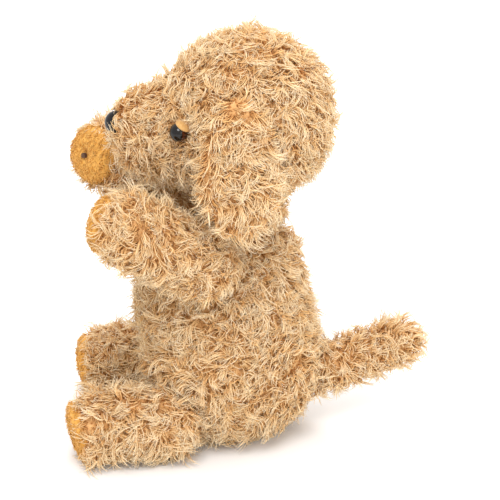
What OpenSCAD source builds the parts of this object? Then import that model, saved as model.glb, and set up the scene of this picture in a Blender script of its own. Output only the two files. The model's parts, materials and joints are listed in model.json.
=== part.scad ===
// Sitting plush dog: stuffed torso, head, ears, arms, legs and tail, each a sewn cover over fibre fill.
// The dog faces -Y, its left side is +X and +Z is up. All sizes are in millimetres.
// The origin is on the floor, under the middle of the torso. Covers are drawn at the middle of their pile.

/* [Torso] */
// radius of the tummy and rump ball
belly_r = 54; // [54:1:54]
// height of the tummy ball's centre; less than belly_r, so that the seat is flat
belly_h = 46; // [46:1:46]
// radius of the chest ball
chest_r = 37; // [37:1:37]
// height of the chest ball's centre
chest_h = 104; // [104:1:104]
// how far the chest leans back
chest_y = 7; // [7:1:7]

/* [Head] */
// radius of the skull
head_r = 50; // [44:1:56]
// height of the skull's centre
head_h = 200; // [196:1:206]
// how far the skull's centre is behind the origin
head_y = 12; // [6:1:16]
// radius of the muzzle ball
muzzle_r = 28; // [24:1:34]
// how far the muzzle's centre is in front of the origin
muzzle_reach = 39; // [30:1:42]
// height of the muzzle's centre
muzzle_h = 190; // [188:1:195]
// radius of the neck ball that the head turns on
neck_r = 21; // [17:1:25]
// height of the neck ball's centre
neck_h = 147; // [143:1:151]

/* [Face] */
// radius of a safety eye
eye_r = 5.4; // [4:0.2:7]
// sideways distance of an eye from the middle
eye_x = 34; // [33:1:36]
// height of the eyes
eye_h = 204; // [202:1:208]
// width of the nose
nose_w = 15; // [13:1:16]
// height of the nose
nose_tall = 13; // [12:1:15]
// how far up the nose is turned on the muzzle, in degrees
nose_up = 15; // [12:1:20]

/* [Ears] */
// length of an ear flap from its root to its tip
ear_length = 78; // [60:1:84]
// widest part of an ear flap
ear_width = 49; // [40:1:56]
// thickness of the ear's furry outer panel
ear_outer_t = 4; // [2:0.5:6]
// thickness of the ear's lining panel
ear_lining_t = 3; // [2:0.5:4]
// how far an ear leans outwards as it hangs, in degrees
ear_lean = 12; // [8:1:18]

/* [Arms] */
// radius of the shoulder ball
shoulder_r = 21; // [18:1:24]
// radius of a paw
paw_r = 22; // [19:1:24]
// radius of a palm pad
palm_r = 16; // [14:1:18]

/* [Legs] */
// radius of the hip ball
hip_r = 22.5; // [20:0.5:24]
// radius of a foot
foot_r = 22.5; // [20:0.5:24]
// radius of a sole pad
sole_r = 17.5; // [15:0.5:18]
// how far a foot's ball is in front of the origin
foot_reach = 72; // [64:1:80]

/* [Tail] */
// radius of the tail's root
tail_root_r = 15.5; // [13:0.5:18]
// radius of the tail's tip
tail_tip_r = 15; // [12:0.5:18]

/* [Sewing] */
// thickness of a furry cover, backing and half its pile
cover_t = 6; // [4:0.5:8]
// thickness of a velour pad
pad_t = 1.6; // [1:0.2:2.5]
// room between a cover and the filling in it
gap = 0.3; // [0.2:0.1:0.6]
// room round the ball of a limb, where it flexes
play = 0.7; // [0.5:0.1:1.2]
// radius of the bean pouch in the seat
pouch_r = 24; // [18:1:28]

/* [Hidden] */
$fn = 64;
pouch_t = 1;
roll_r = 6.5;
washer_r = 5.2;
washer_t = 1.2;
shank_r = 1.6;
lid_t = 1.5;
lid_cap = 2.4; // a lid starts this far above its eye's centre
eye_out = 2.5; // how far an eye's centre is outside the skull
shank = 11; // how far an eye's shank reaches behind the eye's centre
washer_at = 9.2; // how far an eye's washer is behind the eye's centre
slim = 0.98; // a tapered link's end, as a share of the ball it is sunk in
root_slim = 0.8; // the same for the root end of an arm or the tail
leg_slim = 0.74; // the same for a leg, which needs more room to lift

belly = [0, 2, belly_h];
chest = [0, chest_y, chest_h];
neck = [0, head_y - 2, neck_h];
skull = [0, head_y, head_h];
muzzle = [0, -muzzle_reach, muzzle_h];
tail_root = [0, 53, 34];
tail_tip = [0, 103, 53];
pouch = [0, 2, pouch_r + cover_t + 4];

// side is 1 for the dog's left and -1 for its right
function shoulder(side) = [side * 40, -15, 124];
function paw(side) = side > 0 ? [61, -57, 156] : [-48, -68.5, 157.5];
function palm_dir(side) = side > 0 ? [-0.42, -0.9, 0.08] : [0.68, -0.7, 0.22];
function hip(side) = [side * 39, -37, hip_r - 0.2];
function foot(side) = [side * 41, -foot_reach + (side > 0 ? 0 : 4), foot_r - 0.2];
function sole_dir(side) = [side * 0.14, -1, -0.25];
function eye(side) = [side * eye_x,
  head_y - sqrt(pow(head_r + eye_out, 2) - pow(eye_x, 2) - pow(eye_h - head_h, 2)), eye_h];
function nose_dir() = [0, -cos(nose_up), sin(nose_up)];
nose_at = muzzle + (muzzle_r + 1) * nose_dir();
// the ear's hinge is just outside the skull, level with the top of the flap
hinge_out = head_r - 1;
hinge_up = 18;
function ear_hinge(side) = skull + [
  side * (hinge_out * cos(ear_lean) - hinge_up * sin(ear_lean)), -6.5,
  hinge_out * sin(ear_lean) + hinge_up * cos(ear_lean)];

// ---- building blocks ----

// puts children at p, with their Z along direction v
module aim(p, v) {
  translate(p) rotate([0, acos(v.z / norm(v)), atan2(v.y, v.x)]) children();
}

module ball(p, r) { translate(p) sphere(r = r); }

// tapered link from p to q, sunk in the balls at its ends
module link(p, q, rp, rq) {
  aim(p, q - p) cylinder(h = norm(q - p), r1 = rp, r2 = rq);
}

// a limb drawn d inside its outer surface: root ball, link and end ball
module limb(root, end, root_r, end_r, d, share = root_slim) {
  ball(root, root_r - d);
  ball(end, end_r - d);
  link(root, end, (root_r - d) * share, (end_r - d) * slim);
}

module below(z) { translate([-200, -200, z - 400]) cube([400, 400, 400]); }

// ---- forms: each is drawn d inside its outer surface ----

module torso_form(d) {
  difference() {
    union() {
      ball(belly, belly_r - d);
      ball(chest, chest_r - d);
      link(belly, chest, (belly_r - d) * slim, (chest_r - d) * slim);
    }
    below(d);
  }
}

// the hollows that the neck, arms, legs and tail turn in
module sockets() {
  ball(neck, neck_r + play);
  ball(tail_root, tail_root_r + play);
  for (side = [1, -1]) {
    ball(shoulder(side), shoulder_r + play);
    ball(hip(side), hip_r + play);
  }
}

// the hollows in the head for the neck, the muzzle, the eyes and the rolled roots of the ears
module head_sockets() {
  ball(neck, neck_r + play);
  ball(muzzle, muzzle_r + gap);
  for (side = [1, -1]) {
    ball(eye(side), eye_r + lid_t + gap);
    aim(ear_hinge(side) - [0, 20.5, 0], [0, 1, 0]) cylinder(h = 41, r = roll_r + play);
  }
}

module nose_form(d) {
  translate([0, 0, -4]) sphere(r = (nose_w + nose_tall) / 4 + d);
}

module leg_form(side, d) {
  difference() {
    limb(hip(side), foot(side), hip_r, foot_r, d, leg_slim);
    below(d + 0.05);
    // the flat end that the sole pad is sewn on
    aim(foot(side) + (foot_r - 6 - d) * unit(sole_dir(side)), sole_dir(side)) cylinder(h = 30, r = 40);
  }
}

function unit(v) = v / norm(v);

// a skin: an outer form less the same form cover_t further in
module shell() {
  difference() { children(0); children(1); }
}

// ---- torso ----

module torso_cover() {
  color([0.85, 0.7, 0.5]) difference() {
    torso_form(0);
    torso_form(cover_t);
    sockets();
  }
}

module torso_stuffing() {
  color([0.95, 0.95, 0.93]) difference() {
    torso_form(cover_t + gap);
    sockets();
    ball(pouch, pouch_r + gap);
  }
}

module bean_pouch() {
  color([0.9, 0.88, 0.82]) difference() {
    ball(pouch, pouch_r);
    ball(pouch, pouch_r - pouch_t);
  }
}

module bean_pellets() { color([0.8, 0.8, 0.78]) ball(pouch, pouch_r - pouch_t - gap); }

// a blank fabric tab in the seam at the right of the rump
module care_label() {
  v = unit([-0.72, 0.66, -0.2]);
  color([0.96, 0.96, 0.94]) aim(belly + (belly_r + 0.1) * v, v) translate([-9, -0.3, 0]) cube([18, 0.6, 14]);
}

// ---- neck ----

module neck_cover() {
  color([0.85, 0.7, 0.5]) difference() { ball(neck, neck_r); ball(neck, neck_r - 3); }
}

module neck_stuffing() { color([0.95, 0.95, 0.93]) ball(neck, neck_r - 3 - gap); }

// ---- head ----

module head_cover() {
  color([0.85, 0.7, 0.5]) difference() {
    ball(skull, head_r);
    ball(skull, head_r - cover_t);
    head_sockets();
    for (side = [1, -1]) aim(eye(side), skull - eye(side)) cylinder(h = shank + 1, r = shank_r + 0.2);
  }
}

module head_stuffing() {
  color([0.95, 0.95, 0.93]) difference() {
    ball(skull, head_r - cover_t - gap);
    head_sockets();
    for (side = [1, -1]) aim(eye(side), skull - eye(side)) cylinder(h = shank + 0.5, r = washer_r + 0.5);
  }
}

// the muzzle is a ball let into the front of the skull
module muzzle_cover() {
  color([0.85, 0.7, 0.5]) difference() {
    ball(muzzle, muzzle_r);
    ball(muzzle, muzzle_r - cover_t);
    aim(nose_at, nose_dir()) nose_form(0.3);
    aim(nose_at, -nose_dir()) cylinder(h = 20, r = shank_r + 0.2);
  }
}

module muzzle_stuffing() {
  color([0.95, 0.95, 0.93]) difference() {
    ball(muzzle, muzzle_r - cover_t - gap);
    aim(muzzle + 14 * nose_dir(), nose_dir()) cylinder(h = 20, r = 8.6);
  }
}

module eye_part(side) {
  e = eye(side);
  color([0.05, 0.03, 0.02]) union() {
    ball(e, eye_r);
    aim(e, skull - e) cylinder(h = shank, r = shank_r);
  }
}

module eye_washer(side) {
  e = eye(side);
  color([0.9, 0.9, 0.9]) aim(e, skull - e) translate([0, 0, washer_at]) difference() {
    cylinder(h = washer_t, r = washer_r);
    translate([0, 0, -1]) cylinder(h = washer_t + 2, r = shank_r + 0.05);
  }
}

// velour lid in an arc over the top and the back of an eye
module eyelid(side) {
  e = eye(side);
  color([0.85, 0.55, 0.25]) difference() {
    ball(e, eye_r + lid_t);
    ball(e, eye_r + 0.1);
    aim(e, skull - e) cylinder(h = shank, r = shank_r + 2);
    // all but a cap at the top and the back is cut away
    aim(e, [0, -0.5, -0.85]) translate([-20, -20, -lid_cap]) cube([40, 40, 40]);
  }
}

module left_eye() { eye_part(1); }
module right_eye() { eye_part(-1); }
module left_eye_washer() { eye_washer(1); }
module right_eye_washer() { eye_washer(-1); }
module left_eyelid() { eyelid(1); }
module right_eyelid() { eyelid(-1); }

module nose() {
  color([0.04, 0.04, 0.04]) aim(nose_at, nose_dir()) union() {
    nose_form(0);
    translate([0, 0, -14]) cylinder(h = 10, r = shank_r);
  }
}

module nose_washer() {
  color([0.9, 0.9, 0.9]) aim(nose_at, nose_dir()) translate([0, 0, -13.6]) difference() {
    cylinder(h = washer_t, r = washer_r);
    translate([0, 0, -1]) cylinder(h = washer_t + 2, r = shank_r + 0.05);
  }
}

// ---- ears ----

// flap outline: Y is down the ear, X is across it
module ear_outline(inset) {
  r = ear_width / 2 - inset;
  translate([0, ear_length - ear_width / 2]) circle(r = r);
  polygon([[-16 + inset, 0], [16 - inset, 0], [r * 0.97, ear_length - ear_width / 2 - 5],
    [-r * 0.97, ear_length - ear_width / 2 - 5]]);
}

// puts children at the ear's hinge: their X is across the flap, Y is down it and Z is outwards
module at_ear(side) {
  translate(ear_hinge(side)) mirror([side > 0 ? 0 : 1, 0, 0]) rotate([0, -ear_lean, 0])
    rotate([-90, 0, -90]) children();
}

// the flap's inner face clears the skull by 1
flap_in = head_r + 1 - hinge_out;

module ear_outer(side) {
  color([0.85, 0.7, 0.5]) union() {
    at_ear(side) translate([0, 0, flap_in + ear_lining_t])
      linear_extrude(height = ear_outer_t) ear_outline(0);
    aim(ear_hinge(side) - [0, 17, 0], [0, 1, 0]) cylinder(h = 34, r = roll_r);
  }
}

module ear_lining(side) {
  color([0.85, 0.65, 0.42]) difference() {
    at_ear(side) translate([0, 0, flap_in]) linear_extrude(height = ear_lining_t) ear_outline(1);
    aim(ear_hinge(side) - [0, 18, 0], [0, 1, 0]) cylinder(h = 36, r = roll_r + 0.1);
  }
}

module left_ear_outer() { ear_outer(1); }
module left_ear_lining() { ear_lining(1); }
module right_ear_outer() { ear_outer(-1); }
module right_ear_lining() { ear_lining(-1); }

// ---- arms ----

module arm_cover(side) {
  color([0.85, 0.7, 0.5]) difference() {
    limb(shoulder(side), paw(side), shoulder_r, paw_r, 0);
    limb(shoulder(side), paw(side), shoulder_r, paw_r, cover_t);
    palm_cut(side, palm_r + 0.2);
  }
}

module arm_stuffing(side) {
  color([0.95, 0.95, 0.93]) limb(shoulder(side), paw(side), shoulder_r, paw_r, cover_t + gap);
}

// the round hole in the paw's cover, closed by the palm pad
module palm_cut(side, r) {
  aim(paw(side), palm_dir(side)) cylinder(h = 40, r = r);
}

// domed velour pad that fills the hole in the paw's cover
module palm_pad(side) {
  color([0.85, 0.6, 0.28]) aim(paw(side), palm_dir(side)) difference() {
    intersection() {
      sphere(r = paw_r + 0.4);
      cylinder(h = 40, r = palm_r);
    }
    sphere(r = paw_r - pad_t);
    cylinder(h = 40, r = 1.7);
  }
}

// knot of the thread that pulls the palm in
module palm_stitch(side) {
  color([0.3, 0.15, 0.05]) aim(paw(side) + (paw_r - pad_t) * unit(palm_dir(side)), palm_dir(side))
    cylinder(h = pad_t + 0.6, r = 1.5);
}

module left_arm_cover() { arm_cover(1); }
module left_arm_stuffing() { arm_stuffing(1); }
module left_palm_pad() { palm_pad(1); }
module left_palm_stitch() { palm_stitch(1); }
module right_arm_cover() { arm_cover(-1); }
module right_arm_stuffing() { arm_stuffing(-1); }
module right_palm_pad() { palm_pad(-1); }
module right_palm_stitch() { palm_stitch(-1); }

// ---- legs ----

module leg_cover(side) {
  color([0.85, 0.7, 0.5]) shell() { leg_form(side, 0); leg_form(side, cover_t); }
}

module leg_stuffing(side) { color([0.95, 0.95, 0.93]) leg_form(side, cover_t + gap); }

// domed velour sole on the flat end of the leg
module sole_pad(side) {
  dome = 60;
  v = sole_dir(side);
  color([0.85, 0.6, 0.28]) aim(foot(side) + (foot_r - 6 + 0.05) * unit(v), v) intersection() {
    cylinder(h = 20, r = sole_r);
    translate([0, 0, 5.5 - dome]) sphere(r = dome, $fn = 160);
  }
}

module left_leg_cover() { leg_cover(1); }
module left_leg_stuffing() { leg_stuffing(1); }
module left_sole_pad() { sole_pad(1); }
module right_leg_cover() { leg_cover(-1); }
module right_leg_stuffing() { leg_stuffing(-1); }
module right_sole_pad() { sole_pad(-1); }

// ---- tail ----

module tail_cover() {
  color([0.85, 0.7, 0.5]) shell() {
    limb(tail_root, tail_tip, tail_root_r, tail_tip_r, 0);
    limb(tail_root, tail_tip, tail_root_r, tail_tip_r, cover_t);
  }
}

module tail_stuffing() {
  color([0.95, 0.95, 0.93]) limb(tail_root, tail_tip, tail_root_r, tail_tip_r, cover_t + gap);
}

// ---- what is drawn ----

torso_cover();
torso_stuffing();
bean_pouch();
bean_pellets();
care_label();
neck_cover();
neck_stuffing();
head_cover();
head_stuffing();
muzzle_cover();
muzzle_stuffing();
left_eye();
right_eye();
left_eye_washer();
right_eye_washer();
left_eyelid();
right_eyelid();
nose();
nose_washer();
left_ear_outer();
left_ear_lining();
right_ear_outer();
right_ear_lining();
left_arm_cover();
left_arm_stuffing();
left_palm_pad();
left_palm_stitch();
right_arm_cover();
right_arm_stuffing();
right_palm_pad();
right_palm_stitch();
left_leg_cover();
left_leg_stuffing();
left_sole_pad();
right_leg_cover();
right_leg_stuffing();
right_sole_pad();
tail_cover();
tail_stuffing();
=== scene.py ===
"""Sitting plush dog: stuffed skins with locks of curly pile, velour pads, glossy eyes and nose."""
import json
import math
import bpy
import bmesh
import numpy as np
from mathutils import Matrix, Vector, kdtree


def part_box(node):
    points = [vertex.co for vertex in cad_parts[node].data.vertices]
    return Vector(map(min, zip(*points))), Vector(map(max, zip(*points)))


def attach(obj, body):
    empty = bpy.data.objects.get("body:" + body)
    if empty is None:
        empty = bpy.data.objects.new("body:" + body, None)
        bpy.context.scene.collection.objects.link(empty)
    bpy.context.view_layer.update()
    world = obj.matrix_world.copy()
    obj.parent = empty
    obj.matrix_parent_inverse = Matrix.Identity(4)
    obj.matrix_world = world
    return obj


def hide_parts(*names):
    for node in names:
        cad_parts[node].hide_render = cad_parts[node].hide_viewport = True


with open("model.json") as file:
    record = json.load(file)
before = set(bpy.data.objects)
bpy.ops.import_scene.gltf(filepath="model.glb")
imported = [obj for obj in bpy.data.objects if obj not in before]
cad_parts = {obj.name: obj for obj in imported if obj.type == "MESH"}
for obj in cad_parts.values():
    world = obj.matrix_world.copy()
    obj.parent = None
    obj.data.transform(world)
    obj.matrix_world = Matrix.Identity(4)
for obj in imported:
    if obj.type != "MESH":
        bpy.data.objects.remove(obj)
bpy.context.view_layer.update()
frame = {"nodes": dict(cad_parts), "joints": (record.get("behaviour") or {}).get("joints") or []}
RNG = np.random.default_rng(11)
MM = 0.001


# ---------------------------------------------------------------- where things are, from the CAD

def vec(*v):
    return np.array(v, float)


def unit(v):
    v = np.asarray(v, float)
    return v / np.maximum(np.linalg.norm(v, axis=-1, keepdims=True), 1e-12)


def joint(name):
    for j in frame["joints"]:
        if j["name"] == name:
            return np.array(j["pos_m"], float)
    raise KeyError(name)


def node_points(name):
    me = frame["nodes"][name].data
    v = np.empty(len(me.vertices) * 3)
    me.vertices.foreach_get("co", v)
    return v.reshape(-1, 3)


def limb_of(node, root, inset):
    """(root, end, end radius) of a limb's filling, whose cover is inset outside it."""
    v = node_points(node) - root
    d = np.linalg.norm(v, axis=1)
    far = v[d.argmax()]
    axis = unit(far)
    along = v @ axis
    side = np.linalg.norm(v - along[:, None] * axis, axis=1)
    r = side[along > d.max() * 0.6].max()
    return root, root + axis * (d.max() - r), r + inset


INSET = 6.3 * MM  # from a filling to the outside of its cover
low, high = (np.array(v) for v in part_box("muzzle_cover"))
MUZZLE, MUZZLE_R = vec(0, (low[1] + high[1]) / 2, (low[2] + high[2]) / 2), (high[0] - low[0]) / 2
low, high = (np.array(v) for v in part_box("head_cover"))
SKULL_R = (high[0] - low[0]) / 2
SKULL = vec(0, high[1] - SKULL_R, high[2] - SKULL_R)
NECK = joint("head_turn")
stuff = node_points("torso_stuffing")
widest = stuff[stuff[:, 0].argmax()]
BELLY_R = widest[0] + INSET
BELLY = vec(0, stuff[:, 1].min() + widest[0], widest[2])
CHEST = BELLY + vec(0, 0.005, 0.058)
CHEST_R = 0.037
ARM_ROOT_R, LEG_R, TAIL_ROOT_R = 0.021, 0.0225, 0.0155
LIMBS = {"tail": limb_of("tail_stuffing", joint("tail_wag"), INSET)}  # (root, end, end radius) of each


def pad_of(side, kind):
    """(axis, middle of its back, radius, height) of a CAD palm or sole pad."""
    v = node_points("%s_%s_pad" % (side, "palm" if kind == "arm" else "sole"))
    axes = np.linalg.svd(v - v.mean(0), full_matrices=False)[2]
    root = joint("%s_%s" % (side, "arm_swing" if kind == "arm" else "leg_lift"))
    axis = axes[2] * np.sign(axes[2] @ (v.mean(0) - root))
    mid = [(v @ a).min() / 2 + (v @ a).max() / 2 for a in axes[:2]]
    back, front = (v @ axis).min(), (v @ axis).max()
    middle = axes[0] * mid[0] + axes[1] * mid[1] + axis * back
    return axis, middle, np.ptp(v @ axes[0]) / 2, front - back


SEAM_IN = 16.55 * MM  # a sole pad's back is this far from the middle of its foot
PADS = {}
for side in ("left", "right"):
    for kind in ("arm", "leg"):
        PADS[side, kind] = pad_of(side, kind)
    axis, back, _, _ = PADS[side, "leg"]
    LIMBS[side + "_arm"] = limb_of(side + "_arm_stuffing", joint(side + "_arm_swing"), INSET)
    LIMBS[side + "_leg"] = (joint(side + "_leg_lift"), back - axis * SEAM_IN, LEG_R)


# ---------------------------------------------------------------- materials

def new_material(name, roughness=0.8, sheen=0.0, coat=0.0):
    m = bpy.data.materials.new(name)
    m.use_nodes = True
    b = m.node_tree.nodes["Principled BSDF"]
    b.inputs["Roughness"].default_value = roughness
    b.inputs["Sheen Weight"].default_value = sheen
    b.inputs["Sheen Roughness"].default_value = 0.4
    b.inputs["Coat Weight"].default_value = coat
    b.inputs["Coat Roughness"].default_value = 0.08
    return m, m.node_tree, b


def ramp(nt, fac, stops):
    r = nt.nodes.new("ShaderNodeValToRGB")
    e = r.color_ramp.elements
    while len(e) < len(stops):
        e.new(0.5)
    for el, (pos, col) in zip(e, stops):
        el.position = pos
        el.color = (*col, 1)
    nt.links.new(fac, r.inputs[0])
    return r.outputs[0]


def noise_tex(nt, scale, detail):
    n = nt.nodes.new("ShaderNodeTexNoise")
    n.inputs["Scale"].default_value = scale
    n.inputs["Detail"].default_value = detail
    nt.links.new(nt.nodes.new("ShaderNodeTexCoord").outputs["Object"], n.inputs["Vector"])
    return n.outputs[0]


def bump(nt, bsdf, height, strength, distance):
    b = nt.nodes.new("ShaderNodeBump")
    b.inputs["Strength"].default_value = strength
    b.inputs["Distance"].default_value = distance
    nt.links.new(height, b.inputs["Height"])
    nt.links.new(b.outputs[0], bsdf.inputs["Normal"])


def noisy_material(name, dark, light, scale, roughness=0.85, sheen=0.2, bump_d=0.0004, detail=5):
    m, nt, b = new_material(name, roughness, sheen)
    n = noise_tex(nt, scale, detail)
    nt.links.new(ramp(nt, n, [(0.3, dark), (0.7, light)]), b.inputs["Base Color"])
    bump(nt, b, noise_tex(nt, scale * 3, 2), 0.5, bump_d)
    return m


def pile_material(name, along, shades):
    """Colour from the UV: x is the lock's own tone, y runs from its root to its tip; the root end of the ramp
    is painted shade deep in the pile.
    """
    m, nt, b = new_material(name, 0.62, 0.0)
    uv = nt.nodes.new("ShaderNodeUVMap")
    uv.uv_map = "OFBake"
    xyz = nt.nodes.new("ShaderNodeSeparateXYZ")
    nt.links.new(uv.outputs[0], xyz.inputs[0])
    mix = nt.nodes.new("ShaderNodeMix")
    mix.data_type = "RGBA"
    mix.blend_type = "MULTIPLY"
    mix.inputs[0].default_value = 1.0
    nt.links.new(ramp(nt, xyz.outputs["Y"], along), mix.inputs[6])
    nt.links.new(ramp(nt, xyz.outputs["X"], shades), mix.inputs[7])
    nt.links.new(mix.outputs[2], b.inputs["Base Color"])
    b.inputs["Specular IOR Level"].default_value = 0.3
    return m


SHADES = [(0.0, (0.88, 0.77, 0.60)), (0.35, (0.96, 0.91, 0.83)),
          (0.7, (1.0, 0.98, 0.95)), (1.0, (1.0, 1.0, 1.0))]
# the pile runs from caramel at the root to cream at the tip: partly the fur's own colour, partly painted
# shade, darker towards the roots deep in the pile
PILE = pile_material("curly_pile", [(0.0, (0.62, 0.29, 0.08)), (0.3, (0.84, 0.54, 0.25)),
                                    (0.65, (0.95, 0.74, 0.46)), (1.0, (1.0, 0.88, 0.68))], SHADES)
# the nap's own amber, darker towards its roots as painted shade deep in the nap
NAP = pile_material("amber_nap", [(0.0, (0.66, 0.32, 0.055)), (1.0, (0.90, 0.55, 0.17))], SHADES)
BACKING = noisy_material("pile_backing", (0.58, 0.29, 0.09), (0.74, 0.43, 0.18), 220)
VELOUR = noisy_material("amber_velour", (0.64, 0.31, 0.05), (0.78, 0.42, 0.10), 260, 0.85, 0.15, 0.0005)
LID = noisy_material("amber_lid", (0.52, 0.27, 0.07), (0.70, 0.42, 0.16), 420, 0.8, 0.4, 0.0003)
THREAD = noisy_material("dark_thread", (0.05, 0.02, 0.008), (0.11, 0.05, 0.02), 900, 0.7, 0.2, 0.0002)
FILL = noisy_material("fibre_fill", (0.82, 0.82, 0.80), (0.95, 0.95, 0.94), 160, 0.95, 0.3, 0.0012)
POUCH = noisy_material("pouch_cloth", (0.74, 0.71, 0.64), (0.86, 0.84, 0.78), 900, 0.9, 0.2, 0.0002)
BEADS = noisy_material("pellets", (0.70, 0.70, 0.68), (0.88, 0.88, 0.86), 500, 0.45, 0.0, 0.0008)
CLIP = noisy_material("clip_plastic", (0.80, 0.80, 0.78), (0.90, 0.90, 0.88), 300, 0.4, 0.0, 0.00005)
TAB = noisy_material("satin_tab", (0.84, 0.83, 0.80), (0.93, 0.92, 0.90), 1400, 0.5, 0.3, 0.00005)


def gloss_material(name, colour_dark, colour_light, scale, bump_d, roughness=0.16):
    m, nt, b = new_material(name, roughness, 0.0, 0.08)
    b.inputs["Specular IOR Level"].default_value = 0.25
    nt.links.new(ramp(nt, noise_tex(nt, scale, 3), [(0.35, colour_dark), (0.75, colour_light)]),
                 b.inputs["Base Color"])
    bump(nt, b, noise_tex(nt, scale * 1.5, 2), 0.35, bump_d)
    return m


NOSE = gloss_material("nose_black", (0.006, 0.005, 0.006), (0.018, 0.015, 0.015), 700, 0.00012, 0.3)


# ---------------------------------------------------------------- skins

def mesh_object(name, verts, faces):
    me = bpy.data.meshes.new(name)
    me.from_pydata([tuple(v) for v in verts], [], faces)
    me.validate()
    o = bpy.data.objects.new(name, me)
    bpy.context.collection.objects.link(o)
    return o


def apply_modifiers(o):
    dg = bpy.context.evaluated_depsgraph_get()
    me = bpy.data.meshes.new_from_object(o.evaluated_get(dg))
    o.modifiers.clear()
    old = o.data
    o.data = me
    bpy.data.meshes.remove(old)
    return o


def smooth_shade(o):
    o.data.polygons.foreach_set("use_smooth", [True] * len(o.data.polygons))


def skin_from_balls(name, balls, voxel=0.003, smooth=8, floor=None):
    """One soft form round (centre, radii) balls: joined, remeshed and relaxed."""
    bm = bmesh.new()
    for centre, radii in balls:
        radii = np.ones(3) * radii
        m = Matrix.Translation(Vector(centre)) @ Matrix.Diagonal((*radii, 1))
        bmesh.ops.create_icosphere(bm, subdivisions=4, radius=1.0, matrix=m)
    if floor is not None:
        for v in bm.verts:
            v.co.z = max(v.co.z, floor)
    me = bpy.data.meshes.new(name)
    bm.to_mesh(me)
    bm.free()
    o = bpy.data.objects.new(name, me)
    bpy.context.collection.objects.link(o)
    r = o.modifiers.new("remesh", "REMESH")
    r.mode, r.voxel_size = "VOXEL", voxel
    s = o.modifiers.new("relax", "SMOOTH")
    s.factor, s.iterations = 0.6, smooth
    apply_modifiers(o)
    smooth_shade(o)
    return o


def between(a, b, ra, rb, n):
    return [(a + (b - a) * t, ra + (rb - ra) * t) for t in np.linspace(0, 1, n)]


# ---------------------------------------------------------------- pile

WAVES = RNG.normal(size=(14, 3)) * 70
PHASE = RNG.uniform(0, 2 * math.pi, (14, 3))


def swirl(p, freq=1.0):
    """Smooth random vectors over the object, the same on each run."""
    a = (p * freq) @ WAVES.T
    return np.stack([np.sin(a + PHASE[:, k]).sum(1) for k in range(3)], 1) / 3.7


def sample_surface(o, per_cm2):
    me = o.data
    me.calc_loop_triangles()
    v = np.empty(len(me.vertices) * 3)
    me.vertices.foreach_get("co", v)
    v = v.reshape(-1, 3)
    n = np.empty(len(me.vertices) * 3)
    me.vertices.foreach_get("normal", n)
    n = n.reshape(-1, 3)
    t = np.empty(len(me.loop_triangles) * 3, int)
    me.loop_triangles.foreach_get("vertices", t)
    t = t.reshape(-1, 3)
    a = np.linalg.norm(np.cross(v[t[:, 1]] - v[t[:, 0]], v[t[:, 2]] - v[t[:, 0]]), axis=1) / 2
    count = int(a.sum() * 1e4 * per_cm2)
    pick = RNG.choice(len(t), count, p=a / a.sum())
    w = RNG.dirichlet((1, 1, 1), count)
    p = (v[t[pick]] * w[..., None]).sum(1)
    return p, unit((n[t[pick]] * w[..., None]).sum(1))


def nearest(centres, pts):
    tree = kdtree.KDTree(len(centres))
    for i, c in enumerate(centres):
        tree.insert(c, i)
    tree.balance()
    return np.array([tree.find(p)[1] for p in pts])


def grow(p, n, lie, length=0.0135, lift=(50, -2), curl=0.0011, tuft=5, pull=0.9, rings=7, stray=0.0007,
         lean=0.7):
    """Curved strands from roots p with normals n, drawn together in small tufts. Returns their points
    (strand, ring, xyz) and each strand's shade. lie(p, n) is the way the pile leans, and lean how much it
    follows that; lift is the angle off the skin at root and tip, in degrees; tuft is strands to a tuft."""
    count = len(p)
    heads = RNG.choice(count, max(count // tuft, 1), replace=False)
    which = nearest(p[heads], p)
    c = len(heads)
    cp, cn = p[heads], n[heads]
    f = lie(cp, cn) * lean + swirl(cp, 1.0) * 0.7 + RNG.normal(size=(c, 3)) * 0.9
    f = unit(f - (f * cn).sum(1, keepdims=True) * cn)
    turn = RNG.choice((-1.0, 1.0), c) * RNG.uniform(0.5, 2.6, c)
    ln = length * RNG.uniform(0.7, 1.25, c)
    a0 = np.radians(lift[0] + RNG.normal(0, 14, c))
    a1 = np.radians(lift[1] + RNG.normal(0, 22, c))
    waves = RNG.uniform(0.8, 1.7, c)
    ph = RNG.uniform(0, 2 * math.pi, c)
    amp = curl * RNG.uniform(0.4, 1.5, c)
    nn = unit(n * 0.5 + cn[which] * 0.5)
    ff = unit(f[which] + RNG.normal(size=(count, 3)) * 0.12)
    ff = unit(ff - (ff * nn).sum(1, keepdims=True) * nn)
    side = np.cross(nn, ff)
    t = np.linspace(0, 1, rings)
    ang = a0[which][:, None] + (a1 - a0)[which][:, None] * t[None, :] ** 0.7
    yaw = turn[which][:, None] * t[None, :] ** 1.2 + RNG.normal(0, 0.16, (count, 1))
    lens = (ln[which] * RNG.uniform(0.75, 1.12, count))[:, None, None]
    step = ((np.cos(ang) * np.cos(yaw))[..., None] * ff[:, None]
            + (np.cos(ang) * np.sin(yaw))[..., None] * side[:, None]
            + np.sin(ang)[..., None] * nn[:, None])
    step = step * lens / (rings - 1)
    pts = p[:, None] + np.concatenate([np.zeros((count, 1, 3)), np.cumsum(step[:, :-1], 1)], 1)
    wob = 2 * math.pi * waves[which][:, None] * t + ph[which][:, None] + RNG.normal(0, 0.25, (count, 1))
    k = amp[which][:, None] * t ** 0.7
    pts += ((np.sin(wob) - np.sin(wob[:, :1])) * k)[..., None] * side[:, None]
    pts += ((np.cos(wob) - np.cos(wob[:, :1])) * k * 0.6)[..., None] * nn[:, None]
    off = p - cp[which]
    draw = pull * RNG.uniform(0.6, 1.05, count)
    pts -= off[:, None] * (draw[:, None] * t ** 0.8)[..., None]
    pts += RNG.normal(size=(count, 1, 3)) * stray * (t ** 1.5)[None, :, None]
    tone = np.clip(0.5 + 0.2 * RNG.normal(size=c)[which] + 0.1 * RNG.normal(size=count)
                   + 0.14 * swirl(p, 0.7)[:, 0], 0.02, 0.97)
    return pts, tone


LOWEST = 0.0004  # strands stay this far above the floor


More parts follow.
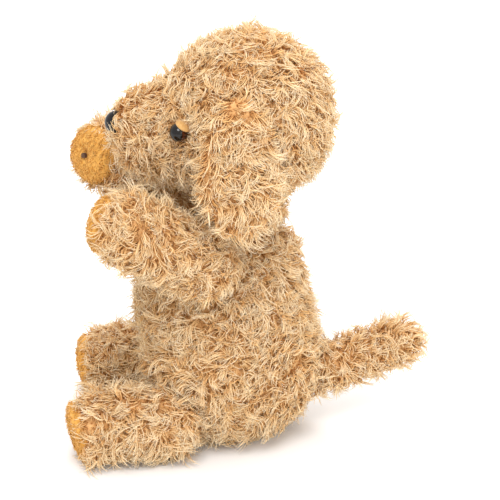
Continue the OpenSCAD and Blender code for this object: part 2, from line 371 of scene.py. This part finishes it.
def strand_mesh(name, pts, tone, material, thick=0.0003, reach=1.0):
    """Closed tapered three-sided strands along pts. reach is how far along the pile's colours they go; short
    of 1, they stay at the darker root end, which is painted shade.
    """
    count, rings, _ = pts.shape
    pts = pts.copy()
    pts[..., 2] = np.maximum(pts[..., 2], LOWEST)
    t = np.linspace(0, 1, rings)
    r = thick * (0.75 + 0.5 * t - 1.05 * t ** 2.2)
    r = r[None, :] * RNG.uniform(0.75, 1.25, count)[:, None]
    tan = unit(np.gradient(pts, axis=1))
    ref = unit(np.cross(tan[:, 0], RNG.normal(size=(count, 3))))
    s = unit(np.cross(tan, ref[:, None] + 0 * tan))
    u = np.cross(s, tan)
    body = rings - 1
    ang = np.arange(3) * 2 * math.pi / 3
    ring = pts[:, :body, None] + r[:, :body, None, None] * (
        np.cos(ang)[None, None, :, None] * s[:, :body, None]
        + np.sin(ang)[None, None, :, None] * u[:, :body, None])
    per = body * 3 + 1
    verts = np.concatenate([ring.reshape(count, -1, 3), pts[:, -1:]], 1)
    verts[..., 2] = np.maximum(verts[..., 2], LOWEST)
    verts = verts.reshape(-1, 3)
    quads, tris, quv, tuv = [], [], [], []
    for k in range(body - 1):
        for j in range(3):
            j2 = (j + 1) % 3
            quads.append([k * 3 + j, k * 3 + j2, k * 3 + 3 + j2, k * 3 + 3 + j])
            quv.append([(j, t[k]), (j + 1, t[k]), (j + 1, t[k + 1]), (j, t[k + 1])])
    k = body - 1
    for j in range(3):
        tris.append([k * 3 + j, k * 3 + (j + 1) % 3, per - 1])
        tuv.append([(j, t[k]), (j + 1, t[k]), (j + 0.5, 1.0)])
    tris.append([2, 1, 0])
    tuv.append([(2, 0.0), (1, 0.02), (0, 0.0)])
    quads, tris = np.array(quads), np.array(tris)
    quv, tuv = np.array(quv), np.array(tuv)
    base = (np.arange(count) * per)[:, None]
    loops = np.concatenate([(base + quads.reshape(-1)[None]).reshape(count, -1),
                            (base + tris.reshape(-1)[None]).reshape(count, -1)], 1).reshape(-1)
    sizes = np.tile(np.concatenate([np.full(len(quads), 4), np.full(len(tris), 3)]), count)
    starts = np.concatenate([[0], np.cumsum(sizes)[:-1]])
    uv1 = np.concatenate([quv.reshape(-1, 2), tuv.reshape(-1, 2)], 0)
    uv = np.empty((count, len(uv1), 2))
    uv[..., 0] = np.clip(tone[:, None] + uv1[None, :, 0] * 0.004, 0, 1)
    uv[..., 1] = 0.01 + 0.98 * uv1[None, :, 1] * reach
    me = bpy.data.meshes.new(name)
    me.vertices.add(len(verts))
    me.vertices.foreach_set("co", verts.reshape(-1))
    me.loops.add(len(loops))
    me.loops.foreach_set("vertex_index", loops.astype(np.int32))
    me.polygons.add(len(sizes))
    me.polygons.foreach_set("loop_start", starts.astype(np.int32))
    me.polygons.foreach_set("use_smooth", np.ones(len(sizes), bool))
    me.update(calc_edges=True)
    layer = me.uv_layers.new(name="OFBake")
    layer.data.foreach_set("uv", uv.reshape(-1))
    o = bpy.data.objects.new(name, me)
    bpy.context.collection.objects.link(o)
    o.data.materials.append(material)
    return o


MOST = 5600  # strands in one piece
# the undercoat's reach of 0.42 keeps it to the darker root end of the pile's colours: painted shade under the
# topcoat
UNDERCOAT = dict(length=0.008, lift=(66, 20), tuft=3, rings=5), dict(thick=0.0005, reach=0.42)
NAP_STYLE = dict(length=0.0022, lift=(40, 5), curl=0.0001, tuft=4, pull=0.3, rings=4, stray=0.0002)


def panels(name, body, slot, pts, tone, material, **mesh):
    """Strands as pieces of at most MOST, split by the angle round their middle."""
    count = max(1, math.ceil(len(pts) / MOST))
    mid = pts[:, 0].mean(0)
    order = np.argsort(np.arctan2(pts[:, 0, 0] - mid[0], pts[:, 0, 1] - mid[1]))
    for i, part in enumerate(np.array_split(order, count)):
        label = name + ("_%d" % (i + 1) if count > 1 else "")
        o = strand_mesh(label, pts[part], tone[part], material, **mesh)
        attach(o, body)


def pile(name, body, skin, lie, per_cm2=50, keep=None, cut=None, under=16, **style):
    """Covers a skin in pile: a short dense undercoat, then the topcoat. keep(p, n) says which roots grow;
    cut(points) says which finished strands go."""
    for suffix, density, shape, mesh in (("_under", under, *UNDERCOAT), ("_pile", per_cm2, style, {})):
        p, n = sample_surface(skin, density)
        if keep is not None:
            k = keep(p, n)
            p, n = p[k], n[k]
        pts, tone = grow(p, n, lie, **shape)
        if cut is not None:
            k = ~cut(pts)
            pts, tone = pts[k], tone[k]
        panels(name + suffix, body, "fur", pts, tone, PILE, **mesh)


def toward(direction):
    d = unit(vec(*direction))
    return lambda p, n: np.broadcast_to(d, p.shape) * 1.0


def inside_ball(p, c, r):
    return np.linalg.norm(p - c, axis=-1) < r


def inside_link(p, a, b, ra, rb):
    ab = b - a
    t = np.clip(((p - a) @ ab) / (ab @ ab), 0, 1)
    q = a + t[..., None] * ab
    return np.linalg.norm(p - q, axis=-1) < ra + (rb - ra) * t


def skin_piece(o, body, *nodes, fill=0.85):
    o.data.materials.clear()
    o.data.materials.append(BACKING)
    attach(o, body)
    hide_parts(*nodes)
    return o


PILE_IN = 4.5 * MM  # the skin is this far inside the CAD cover
SEAT = 0.003  # skins are flat at this height, where the dog sits
TORSO_IN = 0.012  # limbs grow no pile deeper than this inside the torso
NECK_COVERS, LIMB_COVERS = (0.022, 0.017), 0.017  # radii that the neck and each limb's root hide on the torso
NOSE_BARE, EYE_BARE = 0.0098, 0.0035  # no roots this near the nose's tip, or past an eye's radius
NOSE_HOLE = 0.0050  # no strands hang this near the nose's axis

# torso
torso_balls = [(BELLY, BELLY_R - PILE_IN)] + between(BELLY, CHEST, BELLY_R - PILE_IN, CHEST_R - PILE_IN, 10)
# the fill settles forwards, so the tummy's front stands nearly upright up to the arms
torso_balls += [(BELLY + vec(0, -0.014, 0.034), 0.0385), (BELLY + vec(0, -0.007, 0.052), 0.033)]
torso = skin_piece(skin_from_balls("torso_skin", torso_balls, floor=SEAT), "torso", "torso_cover")


def limb_skin(name, body, node, r_root, extra=()):
    root, end, r1 = LIMBS[name]
    balls = between(root, end, r_root - PILE_IN, r1 - PILE_IN, 9)
    o = skin_from_balls(name + "_skin", balls + list(extra), 0.0025, 6, floor=SEAT)
    return skin_piece(o, body, node)


def torso_bare(p, n):
    """Roots that neither the neck nor a limb covers."""
    k = inside_link(p, CHEST, NECK, *NECK_COVERS)
    for root, _, _ in LIMBS.values():
        k |= inside_ball(p, root, LIMB_COVERS)
    return ~k


pile("torso", "torso", torso, toward((0, 0, -1)), keep=torso_bare)

# head
head_balls = [(SKULL, SKULL_R - PILE_IN), (MUZZLE, MUZZLE_R - PILE_IN)]
head_balls += between(SKULL + vec(0, -0.018, -0.004), MUZZLE, 0.034, MUZZLE_R - PILE_IN, 5)
# the bridge of the muzzle is high and flat
bridge = MUZZLE + vec(0, -0.004, 0.004)
head_balls += between(bridge + vec(0, 0.022, 0.003), bridge, 0.025, 0.0205, 4)
head = skin_piece(skin_from_balls("head_skin", head_balls), "head", "head_cover", "muzzle_cover")


def eye_of(side):
    low, high = (np.array(v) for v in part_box(side + "_eye"))
    r = (high[2] - low[2]) / 2
    x = high[0] - r if side == "left" else low[0] + r
    return vec(x, low[1] + r, (low[2] + high[2]) / 2), r


EYES = {s: eye_of(s) for s in ("left", "right")}
nose_v = node_points("nose")
far = nose_v[np.linalg.norm(nose_v - MUZZLE, axis=1).argmax()]
NOSE_DIR = unit(far - MUZZLE)
NOSE_TOP = np.linalg.norm(far - MUZZLE)


def lie_head(p, n):
    away = unit(p - (MUZZLE + NOSE_DIR * 0.04))
    return unit(away + vec(0, 0, -0.5))


def keep_head(p, n):
    """Roots clear of the neck, the nose and the eyes."""
    k = ~inside_ball(p, NECK, 0.020)
    k &= ~inside_ball(p, MUZZLE + NOSE_DIR * NOSE_TOP, NOSE_BARE)
    for c, r in EYES.values():
        k &= ~inside_ball(p, c, r + EYE_BARE)
    return k


def cut_head(pts):
    """Finished strands that hang in front of an eye or the nose."""
    gone = np.zeros(len(pts), bool)
    for c, r in EYES.values():
        e = unit(c - SKULL)
        rel = pts - c
        along = rel @ e
        off = np.linalg.norm(rel - along[..., None] * e, axis=-1)
        gone |= ((off < r) & (along > -0.002)).any(1)
    rel = pts - (MUZZLE + NOSE_DIR * NOSE_TOP)
    along = rel @ NOSE_DIR
    off = np.linalg.norm(rel - along[..., None] * NOSE_DIR, axis=-1)
    gone |= ((off < NOSE_HOLE) & (along > -0.004)).any(1)
    return gone


pile("head", "head", head, lie_head, keep=keep_head, cut=cut_head)

# neck
neck = skin_piece(skin_from_balls("neck_skin", [(NECK, 0.0215)], 0.002, 4), "neck", "neck_cover")
pile("neck", "neck", neck, toward((0, 0, -1)), per_cm2=30, under=12)

# limbs
for side in ("left", "right"):
    for kind, r_root in (("arm", ARM_ROOT_R), ("leg", LEG_R)):
        name = "%s_%s" % (side, kind)
        root, end, _ = LIMBS[name]
        pdir, back, pad_r, _ = PADS[side, kind]
        # a flattened ball behind the sole squares off the foot's end
        extra = [] if kind == "arm" else [(back - pdir * 0.007, vec(19.5, 8, 19.5) * MM)]
        o = limb_skin(name, name, name + "_cover", r_root, extra)
        axis = unit(end - root)

        def keep_limb(p, n, end=end, pdir=pdir, pad_r=pad_r, kind=kind):
            rel = p - end
            along = rel @ pdir
            off = np.linalg.norm(rel - along[:, None] * pdir, axis=1)
            if kind == "arm":
                under_pad = along > 0.58 * np.linalg.norm(rel, axis=1)
            else:
                under_pad = (along > 0.006) & (off < pad_r - 0.003)
            return ~under_pad & ~inside_link(p, BELLY, CHEST, BELLY_R - TORSO_IN, CHEST_R - TORSO_IN)

        def cut_limb(pts, back=back, pdir=pdir, pad_r=pad_r):
            rel = pts - back
            along = rel @ pdir
            off = np.linalg.norm(rel - along[..., None] * pdir, axis=-1)
            return ((along > -0.001) & (off < pad_r - 0.0035)).any(1)

        pile(name, name, o, toward(axis * 0.6 + vec(0, 0, -0.8)), keep=keep_limb, cut=cut_limb)

# tail
root, end, _ = LIMBS["tail"]
tail = limb_skin("tail", "tail", "tail_cover", TAIL_ROOT_R)
pile("tail", "tail", tail, toward(unit(end - root) * 1.2 + vec(0, 0, -0.3)),
     keep=lambda p, n: ~inside_ball(p, BELLY, BELLY_R - TORSO_IN))


# ears
def ear_frame(side):
    """(hinge, outward normal, down, across, length, half width, reach outwards) of a CAD ear."""
    v = node_points(side + "_ear_lining")
    mid = v.mean(0)
    axes = np.linalg.svd(v - mid, full_matrices=False)[2]
    normal = axes[2] * np.sign(axes[2] @ (mid - SKULL))
    down = vec(0, 0, -1) + normal * normal[2]
    down = unit(down - (down @ normal) * normal)
    across = np.cross(normal, down)
    outer = node_points(side + "_ear_outer")
    hinge = joint(side + "_ear_flap")
    rel = outer - hinge
    return hinge, normal, down, across, (rel @ down).max(), (rel @ across).max(), (rel @ normal).max()


EAR_THICK, EAR_IN, EAR_SHORT, EAR_FLARE = 0.005, 0.0045, 0.004, 0.002


def ear_skin(side):
    """A padded flap, full and round at its tip, just inside the CAD ear's outline and outer face."""
    hinge, normal, down, across, length, half, out = ear_frame(side)
    o = bpy.data.objects.new(side + "_ear_skin", bpy.data.meshes.new(side + "_ear_skin"))
    bpy.context.collection.objects.link(o)
    bm = bmesh.new()
    bmesh.ops.create_icosphere(bm, subdivisions=5, radius=1.0)
    for v in bm.verts:
        x, y, z = v.co
        # y runs down the flap
        w = 0.80 + 0.20 * math.sin((y + 0.3) * 1.4)
        px = x * w * half * 0.90
        py = (y * 0.5 + 0.5) * (length - EAR_SHORT)
        thick = EAR_THICK * math.copysign(abs(z) ** 0.7, z)
        cup = -0.10 * (px ** 2) / half + 0.0008 * math.sin(py * 130)
        lift = out - EAR_IN + thick + cup + EAR_FLARE * max(0.0, y) ** 2
        v.co = hinge + down * py + across * px + normal * lift
    bm.normal_update()
    bmesh.ops.recalc_face_normals(bm, faces=bm.faces)
    bm.to_mesh(o.data)
    bm.free()
    smooth_shade(o)
    return o, normal


for side in ("left", "right"):
    o, normal = ear_skin(side)
    skin_piece(o, side + "_ear", side + "_ear_outer", side + "_ear_lining", fill=0.5)

    def keep_ear(p, n, normal=normal):
        inner = n @ normal < -0.2
        return ~(inner & (RNG.uniform(size=len(p)) < 0.45))

    pile(side + "_ear", side + "_ear", o, toward((0, 0.1, -1)), keep=keep_ear, length=0.0145, lean=1.1)


# ---------------------------------------------------------------- pads

def ringed_mesh(name, verts, segs, merge):
    """One smooth mesh from rings of segs points each. Points closer than merge become one."""
    faces = []
    for i in range(len(verts) // segs - 1):
        for j in range(segs):
            a, b = i * segs + j, i * segs + (j + 1) % segs
            faces.append((a, b, b + segs, a + segs))
    o = mesh_object(name, verts, faces)
    bm = bmesh.new()
    bm.from_mesh(o.data)
    bmesh.ops.remove_doubles(bm, verts=bm.verts, dist=merge)
    bmesh.ops.recalc_face_normals(bm, faces=bm.faces)
    bm.to_mesh(o.data)
    bm.free()
    smooth_shade(o)
    return o


def pad_mesh(name, back, axis, radius, height, sink=0.004, pucker=0.0, rings=30, segs=72):
    """A velour pad as a low pillow: its crown stands height above its back, its skirt sinks below it,
    and a stitched one is pulled in at its middle with creases running out from there."""
    up = unit(vec(0, 0, 1) - axis * axis[2])
    side = np.cross(up, axis)
    verts, profile = [], []
    for i in range(rings + 1):
        q = i / rings
        profile.append((radius * math.sin(q * math.pi / 2), q, height * math.cos(q * math.pi / 2) ** 0.8))
    for i in range(1, 7):
        q = i / 6
        profile.append((radius * (1 - 0.12 * q * q), 1.0, -sink * q))
    profile.append((0.0, 1.0, -sink * 1.1))
    for r, q, h in profile:
        for j in range(segs):
            a = 2 * math.pi * j / segs
            rr = r * (1 + 0.012 * math.sin(a * 4 + 1))
            hh = h
            if pucker and q < 1:
                creases = max(0.0, math.cos(a - 2.3)) ** 6 + 0.5 * max(0.0, math.cos(a - 1.6)) ** 8
                hh -= pucker * math.exp(-(r / radius / 0.13) ** 2)
                hh -= pucker * (0.30 + 0.5 * creases) * math.exp(-(r / radius / 0.42) ** 2)
            verts.append(back + axis * hh + side * (rr * math.cos(a)) + up * (rr * math.sin(a)))
    o = ringed_mesh(name, verts, segs, 1e-6)
    o.data.materials.append(VELOUR)
    return o


STITCH_BARE = 0.0022  # no nap this close to a palm's stitch

for (side, kind), (axis, back, radius, height) in PADS.items():
    name = "%s_%s" % (side, kind)
    stitched = kind == "arm"
    pad = "%s_%s" % (side, "palm" if stitched else "sole")
    piece = pad + "_velour"
    o = pad_mesh(piece, back, axis, radius + 0.0006, height, pucker=0.0042 if stitched else 0.0)
    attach(o, name)
    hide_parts(pad + "_pad")
    # the velour's own short nap
    p, n = sample_surface(o, 110)
    along = (p - back) @ axis
    off = np.linalg.norm((p - back) - along[:, None] * axis, axis=1)
    bare = STITCH_BARE if stitched else 0.0
    k = (along > -0.001) & (off > bare)
    p, n = p[k], n[k]
    pts, tone = grow(p, n, toward((0, 0, -1)), **NAP_STYLE)
    panels(piece + "_nap", name, "pad", pts, tone, NAP, thick=0.00022)


# ---------------------------------------------------------------- face

def lathe(name, profile, centre, axis, segs=48):
    """A closed turned form: profile is (radius, height) from the back of the axis to its front."""
    axis = unit(axis)
    up = unit(vec(0, 0, 1) - axis * axis[2])
    side = np.cross(up, axis)
    verts = []
    for r, h in profile:
        for j in range(segs):
            a = 2 * math.pi * j / segs
            verts.append(centre + axis * h + side * (r * math.cos(a)) + up * (r * math.sin(a)))
    return ringed_mesh(name, verts, segs, 1e-7)


def eye_material(centre, axis, r):
    """Black pupil in a deep brown iris, told by the distance from the eye's own axis."""
    m, nt, b = new_material("eye_gloss", 0.06, 0.0, 0.25)
    geo = nt.nodes.new("ShaderNodeTexCoord").outputs["Object"]
    sub = nt.nodes.new("ShaderNodeVectorMath")
    sub.operation = "DISTANCE"
    sub.inputs[1].default_value = tuple(centre + unit(axis) * r)
    nt.links.new(geo, sub.inputs[0])
    div = nt.nodes.new("ShaderNodeMath")
    div.operation = "DIVIDE"
    div.inputs[1].default_value = r * 1.45
    nt.links.new(sub.outputs["Value"], div.inputs[0])
    col = ramp(nt, div.outputs[0], [(0.0, (0.004, 0.003, 0.003)), (0.78, (0.006, 0.004, 0.003)),
                                    (0.84, (0.08, 0.018, 0.006)), (0.98, (0.04, 0.012, 0.005))])
    nt.links.new(col, b.inputs["Base Color"])
    b.inputs["Specular IOR Level"].default_value = 0.3
    return m


for side in ("left", "right"):
    c, r = EYES[side]
    e = unit(c - SKULL)
    prof = [(0.0001, -r * 0.98)]
    prof += [(r * math.sin(a), -r * math.cos(a)) for a in np.linspace(0.15, math.pi - 0.02, 40)]
    o = lathe(side + "_eye_ball", prof, c, e)
    o.data.materials.append(eye_material(c, e, r))
    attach(o, "head")
    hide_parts(side + "_eye")


def lid_piece(side, half_angle=math.radians(42), thick=0.0014, steps=14):
    """A thin arc of velour over the top and the back of an eye, with a rounded edge."""
    c, r = EYES[side]
    s = 1 if side == "left" else -1
    axis = unit(vec(0.12 * s, 0.52, 0.84))
    inner, mid = r + 0.0001, r + 0.0001 + thick / 2
    prof = [(0.0, inner)]
    prof += [(inner * math.sin(a), inner * math.cos(a)) for a in np.linspace(0.05, half_angle, steps)]
    for b in np.linspace(0.3, math.pi - 0.3, 6):
        q, w = mid - thick / 2 * math.cos(b), half_angle + math.sin(b) * thick / 2 / mid
        prof.append((q * math.sin(w), q * math.cos(w)))
    outer = inner + thick
    prof += [(outer * math.sin(a), outer * math.cos(a)) for a in np.linspace(half_angle, 0.05, steps)]
    prof.append((0.0, outer))
    o = lathe(side + "_lid", prof, c, axis)
    o.data.materials.append(LID)
    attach(o, "head")
    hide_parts(side + "_eyelid")


for side in ("left", "right"):
    lid_piece(side)

STUFFED = ("torso", "neck", "head", "muzzle", "left_arm", "right_arm", "left_leg", "right_leg", "tail")
CAD_LOOKS = [(FILL, [n + "_stuffing" for n in STUFFED]), (POUCH, ["bean_pouch"]), (BEADS, ["bean_pellets"]),
             (TAB, ["care_label"]), (CLIP, ["left_eye_washer", "right_eye_washer", "nose_washer"]),
             (LID, ["left_eyelid", "right_eyelid"]), (NOSE, ["nose"]),
             (THREAD, ["left_palm_stitch", "right_palm_stitch"])]
for m, nodes in CAD_LOOKS:
    for n in nodes:
        for slot in frame["nodes"][n].material_slots:
            slot.material = m


# ---------------------------------------------------------------- stage, light and camera

def studio():
    bpy.ops.mesh.primitive_plane_add(size=12, location=(0, 0, 0))
    floor = bpy.context.object
    floor.name = "floor"
    m, nt, b = new_material("floor_paper", 0.9)
    nt.links.new(ramp(nt, noise_tex(nt, 3, 2), [(0, (0.91, 0.91, 0.91)), (1, (0.93, 0.93, 0.93))]),
                 b.inputs["Base Color"])
    floor.data.materials.append(m)
    w = bpy.data.worlds.new("studio")
    bpy.context.scene.world = w
    w.use_nodes = True
    w.node_tree.nodes["Background"].inputs[0].default_value = (1, 1, 1, 1)
    w.node_tree.nodes["Background"].inputs[1].default_value = 0.95

    def area(name, place, size, power, colour=(1, 1, 1)):
        light = bpy.data.lights.new(name, "AREA")
        light.shape, light.size, light.energy, light.color = "DISK", size, power, colour
        o = bpy.data.objects.new(name, light)
        bpy.context.collection.objects.link(o)
        o.location = place
        d = Vector((0, 0, 0.13)) - Vector(place)
        o.rotation_euler = d.to_track_quat("-Z", "Y").to_euler()

    area("key", (1.0, -0.2, 1.5), 0.9, 18)
    area("fill", (1.3, 0.9, 0.5), 0.9, 6)
    area("rim", (-0.9, 0.3, 1.0), 0.6, 8)


def camera():
    az, el, dist = math.radians(88), math.radians(25), 1.6
    widths_per_m, sensor = 3.3, 36
    u = vec(math.cos(az), math.sin(az), 0)
    v = vec(-math.sin(az) * math.sin(el), math.cos(az) * math.sin(el), math.cos(el))
    c = vec(math.sin(az) * math.cos(el), -math.cos(az) * math.cos(el), math.sin(el))
    target = 0.0133 * u + 0.104 * v
    cam = bpy.data.cameras.new("camera")
    o = bpy.data.objects.new("camera", cam)
    bpy.context.collection.objects.link(o)
    o.location = target + c * dist
    o.rotation_euler = Vector(-c).to_track_quat("-Z", "Y").to_euler()
    cam.sensor_width = sensor
    cam.lens = widths_per_m * dist * sensor
    cam.clip_end = 20
    bpy.context.scene.camera = o
    bpy.context.scene.view_settings.view_transform = "Standard"


studio()
camera()
